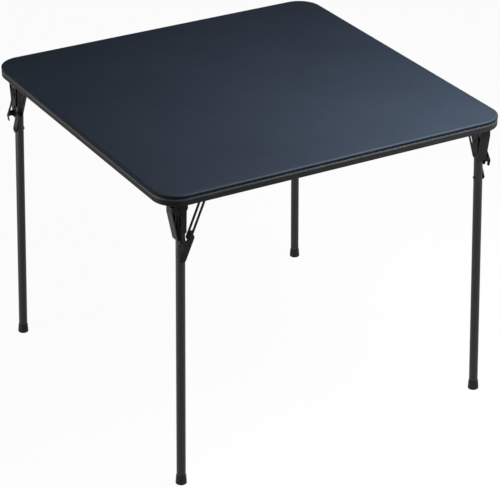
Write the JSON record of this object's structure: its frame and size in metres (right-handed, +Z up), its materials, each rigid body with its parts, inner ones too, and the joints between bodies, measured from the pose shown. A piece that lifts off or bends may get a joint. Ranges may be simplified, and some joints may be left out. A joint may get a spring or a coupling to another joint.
{
  "type": "folding card table",
  "caption": "Square folding card table with padded vinyl top, tube frame, four tubular legs that fold flat, elbow braces and thumb levers.",
  "frame": {"origin": "middle of the table at floor level", "axes": "+Z up; rails along X and Y; the front corner of the picture is at -X, -Y"},
  "size_m": [0.8636, 0.8636, 0.714],
  "materials": {
    "vinyl": "padded vinyl with a soft sheen",
    "foam": "matt",
    "board": "raw fibre board",
    "frame_paint": "semi-gloss powder coat",
    "leg_paint": "semi-gloss powder coat",
    "bracket_paint": "satin",
    "steel": "satin zinc plate",
    "cap_rubber": "matt"
  },
  "bodies": {
    "table": {"vinyl_cover": "vinyl", "foam_pad": "foam", "top_board": "board", "frame_tube": "frame_paint", "frame_splice": "steel", "hinge_pins": "steel", "tab_pins": "steel", "tab_rivets": "steel", "corner_screws": "steel", "rail_screws": "steel", "corner_plate_front": "bracket_paint", "hinge_bracket_front": "bracket_paint", "rail_tab_front": "bracket_paint", "corner_plate_right": "bracket_paint", "hinge_bracket_right": "bracket_paint", "rail_tab_right": "bracket_paint", "corner_plate_back": "bracket_paint", "hinge_bracket_back": "bracket_paint", "rail_tab_back": "bracket_paint", "corner_plate_left": "bracket_paint", "hinge_bracket_left": "bracket_paint", "rail_tab_left": "bracket_paint"},
    "leg_front": {"leg_tube_front": "leg_paint", "foot_cap_front": "cap_rubber", "leg_sleeve_front": "bracket_paint", "leg_rivets_front": "steel", "link_pin_front": "steel", "lever_pin_front": "steel"},
    "lower_brace_front": {"lower_link_front": "bracket_paint"},
    "upper_brace_front": {"upper_link_front": "bracket_paint"},
    "lever_front": {"thumb_lever_front": "bracket_paint"},
    "leg_right": {"leg_tube_right": "leg_paint", "foot_cap_right": "cap_rubber", "leg_sleeve_right": "bracket_paint", "leg_rivets_right": "steel", "link_pin_right": "steel", "lever_pin_right": "steel"},
    "lower_brace_right": {"lower_link_right": "bracket_paint"},
    "upper_brace_right": {"upper_link_right": "bracket_paint"},
    "lever_right": {"thumb_lever_right": "bracket_paint"},
    "leg_back": {"leg_tube_back": "leg_paint", "foot_cap_back": "cap_rubber", "leg_sleeve_back": "bracket_paint", "leg_rivets_back": "steel", "link_pin_back": "steel", "lever_pin_back": "steel"},
    "lower_brace_back": {"lower_link_back": "bracket_paint"},
    "upper_brace_back": {"upper_link_back": "bracket_paint"},
    "lever_back": {"thumb_lever_back": "bracket_paint"},
    "leg_left": {"leg_tube_left": "leg_paint", "foot_cap_left": "cap_rubber", "leg_sleeve_left": "bracket_paint", "leg_rivets_left": "steel", "link_pin_left": "steel", "lever_pin_left": "steel"},
    "lower_brace_left": {"lower_link_left": "bracket_paint"},
    "upper_brace_left": {"upper_link_left": "bracket_paint"},
    "lever_left": {"thumb_lever_left": "bracket_paint"}
  },
  "joints": [
    {"name": "leg_fold_front", "type": "hinge", "parent": "table", "child": "leg_front", "pos_m": [-0.3759, -0.3943, 0.672], "axis": [0, -0.9998, 0.0209], "range_deg": [0, 91.2]},
    {"name": "lower_brace_turn_front", "type": "hinge", "parent": "leg_front", "child": "lower_brace_front", "pos_m": [-0.37839, -0.39679, 0.55305], "axis": [0, -0.9998, 0.0209], "range_deg": [-131.27, 0.02]},
    {"name": "upper_brace_turn_front", "type": "hinge", "parent": "table", "child": "upper_brace_front", "pos_m": [-0.3164, -0.39384, 0.694], "axis": [0, -0.9998, 0.0209], "range_deg": [-0.02, 113.76]},
    {"name": "lever_press_front", "type": "hinge", "parent": "leg_front", "child": "lever_front", "pos_m": [-0.38151, -0.41291, 0.59547], "axis": [0.9998, -0.0004, -0.0209], "range_deg": [0, 8], "stiffness_Nm_per_rad": 0.12},
    {"name": "leg_fold_right", "type": "hinge", "parent": "table", "child": "leg_right", "pos_m": [0.3943, -0.3759, 0.672], "axis": [0.9998, 0, 0.0209], "range_deg": [0, 91.2]},
    {"name": "lower_brace_turn_right", "type": "hinge", "parent": "leg_right", "child": "lower_brace_right", "pos_m": [0.39679, -0.37839, 0.55305], "axis": [0.9998, 0, 0.0209], "range_deg": [-131.27, 0.02]},
    {"name": "upper_brace_turn_right", "type": "hinge", "parent": "table", "child": "upper_brace_right", "pos_m": [0.39384, -0.3164, 0.694], "axis": [0.9998, 0, 0.0209], "range_deg": [-0.02, 113.76]},
    {"name": "lever_press_right", "type": "hinge", "parent": "leg_right", "child": "lever_right", "pos_m": [0.41291, -0.38151, 0.59547], "axis": [0.0004, 0.9998, -0.0209], "range_deg": [0, 8], "stiffness_Nm_per_rad": 0.12},
    {"name": "leg_fold_back", "type": "hinge", "parent": "table", "child": "leg_back", "pos_m": [0.3759, 0.3943, 0.672], "axis": [0, 0.9998, 0.0209], "range_deg": [0, 91.2]},
    {"name": "lower_brace_turn_back", "type": "hinge", "parent": "leg_back", "child": "lower_brace_back", "pos_m": [0.37839, 0.39679, 0.55305], "axis": [0, 0.9998, 0.0209], "range_deg": [-131.27, 0.02]},
    {"name": "upper_brace_turn_back", "type": "hinge", "parent": "table", "child": "upper_brace_back", "pos_m": [0.3164, 0.39384, 0.694], "axis": [0, 0.9998, 0.0209], "range_deg": [-0.02, 113.76]},
    {"name": "lever_press_back", "type": "hinge", "parent": "leg_back", "child": "lever_back", "pos_m": [0.38151, 0.41291, 0.59547], "axis": [-0.9998, 0.0004, -0.0209], "range_deg": [0, 8], "stiffness_Nm_per_rad": 0.12},
    {"name": "leg_fold_left", "type": "hinge", "parent": "table", "child": "leg_left", "pos_m": [-0.3943, 0.3759, 0.672], "axis": [-0.9998, 0, 0.0209], "range_deg": [0, 91.2]},
    {"name": "lower_brace_turn_left", "type": "hinge", "parent": "leg_left", "child": "lower_brace_left", "pos_m": [-0.39679, 0.37839, 0.55305], "axis": [-0.9998, 0, 0.0209], "range_deg": [-131.27, 0.02]},
    {"name": "upper_brace_turn_left", "type": "hinge", "parent": "table", "child": "upper_brace_left", "pos_m": [-0.39384, 0.3164, 0.694], "axis": [-0.9998, 0, 0.0209], "range_deg": [-0.02, 113.76]},
    {"name": "lever_press_left", "type": "hinge", "parent": "leg_left", "child": "lever_left", "pos_m": [-0.41291, 0.38151, 0.59547], "axis": [-0.0004, -0.9998, -0.0209], "range_deg": [0, 8], "stiffness_Nm_per_rad": 0.12}
  ],
  "couplings": [
    {"joint": "lower_brace_turn_front", "follows": "leg_fold_front", "ratio": -1.4392},
    {"joint": "upper_brace_turn_front", "follows": "leg_fold_front", "ratio": 1.2471},
    {"joint": "lower_brace_turn_right", "follows": "leg_fold_right", "ratio": -1.4392},
    {"joint": "upper_brace_turn_right", "follows": "leg_fold_right", "ratio": 1.2471},
    {"joint": "lower_brace_turn_back", "follows": "leg_fold_back", "ratio": -1.4392},
    {"joint": "upper_brace_turn_back", "follows": "leg_fold_back", "ratio": 1.2471},
    {"joint": "lower_brace_turn_left", "follows": "leg_fold_left", "ratio": -1.4392},
    {"joint": "upper_brace_turn_left", "follows": "leg_fold_left", "ratio": 1.2471}
  ]
}
